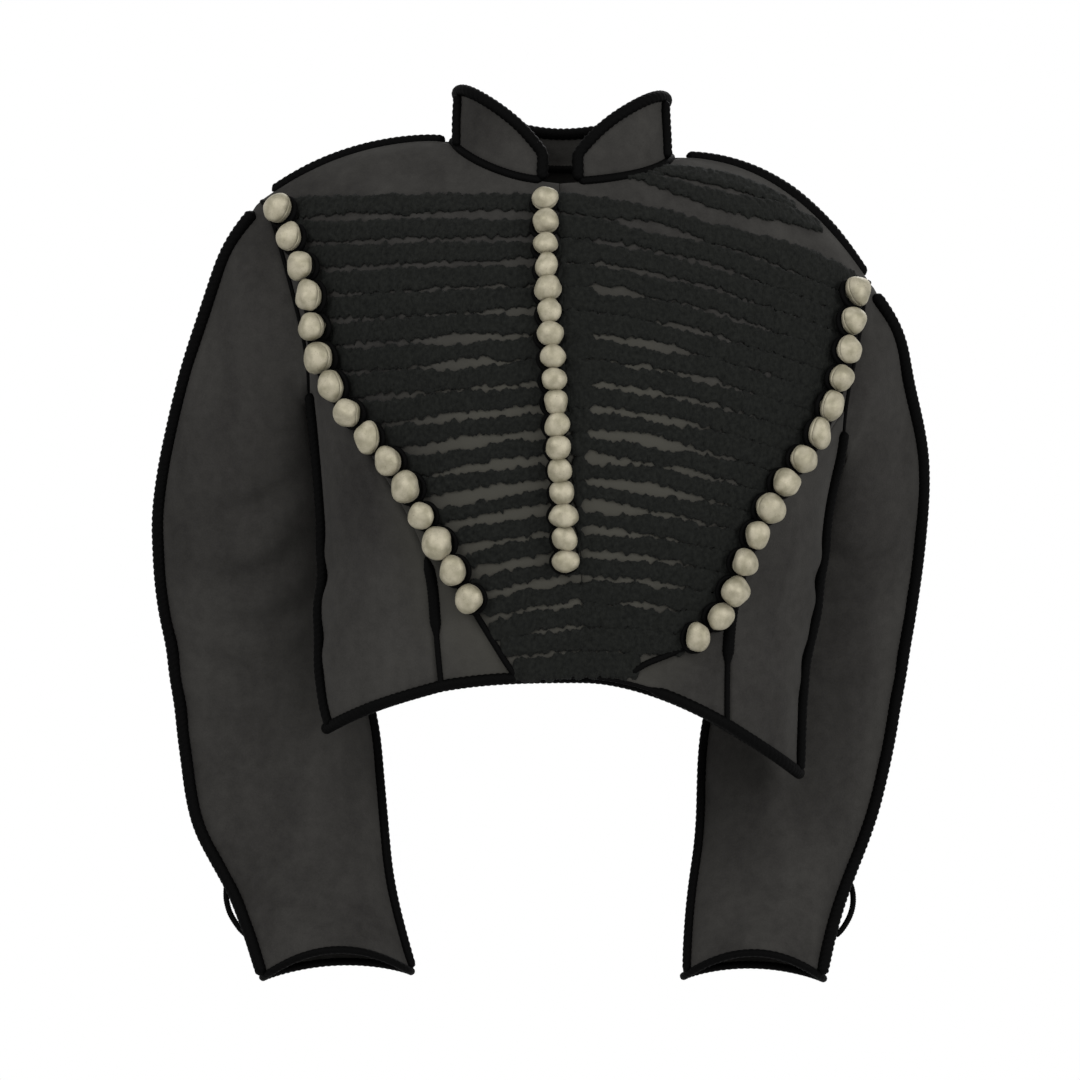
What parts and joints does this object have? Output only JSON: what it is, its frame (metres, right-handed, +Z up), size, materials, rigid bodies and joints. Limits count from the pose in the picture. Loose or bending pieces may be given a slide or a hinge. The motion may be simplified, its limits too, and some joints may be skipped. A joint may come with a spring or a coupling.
{
  "type": "hussar jacket",
  "caption": "Short fitted hussar jacket in dark wool, filled out and hollow, with a standing collar, rows of black braid and ball buttons across the chest, and long sleeves.",
  "frame": {"origin": "middle of the neck opening, at the height of the neck points, where the wearer's neck and shoulders hold the jacket", "axes": "+Z up along the wearer's height, +Y towards the wearer's back, +X towards the wearer's left side"},
  "size_m": [0.6294, 0.3046, 0.7196],
  "materials": {
    "wool_cloth": "felted wool broadcloth, matt with a short nap",
    "mohair_braid": "plaited worsted braid, matt",
    "black_cord": "twisted black cord",
    "pewter": "dull cast pewter with a warm tarnish"
  },
  "bodies": {
    "root": {"front_right": "wool_cloth", "front_left": "wool_cloth", "side_right": "wool_cloth", "side_left": "wool_cloth", "back": "wool_cloth", "sleeve_right": "wool_cloth", "sleeve_left": "wool_cloth", "collar": "wool_cloth", "braid_right": "mohair_braid", "braid_left": "mohair_braid", "cuff_loop_right": "black_cord", "cuff_loop_left": "black_cord", "button_right_01": "pewter", "button_right_02": "pewter", "button_right_03": "pewter", "button_right_04": "pewter", "button_right_05": "pewter", "button_right_06": "pewter", "button_right_07": "pewter", "button_right_08": "pewter", "button_right_09": "pewter", "button_right_10": "pewter", "button_right_11": "pewter", "button_right_12": "pewter", "button_right_13": "pewter", "button_right_14": "pewter", "button_right_15": "pewter", "button_centre_01": "pewter", "button_centre_02": "pewter", "button_centre_03": "pewter", "button_centre_04": "pewter", "button_centre_05": "pewter", "button_centre_06": "pewter", "button_centre_07": "pewter", "button_centre_08": "pewter", "button_centre_09": "pewter", "button_centre_10": "pewter", "button_centre_11": "pewter", "button_centre_12": "pewter", "button_centre_13": "pewter", "button_centre_14": "pewter", "button_centre_15": "pewter", "button_centre_16": "pewter", "button_centre_17": "pewter", "button_left_01": "pewter", "button_left_02": "pewter", "button_left_03": "pewter", "button_left_04": "pewter", "button_left_05": "pewter", "button_left_06": "pewter", "button_left_07": "pewter", "button_left_08": "pewter", "button_left_09": "pewter", "button_left_10": "pewter", "button_left_11": "pewter", "button_left_12": "pewter", "button_left_13": "pewter", "button_left_14": "pewter"}
  },
  "joints": []
}
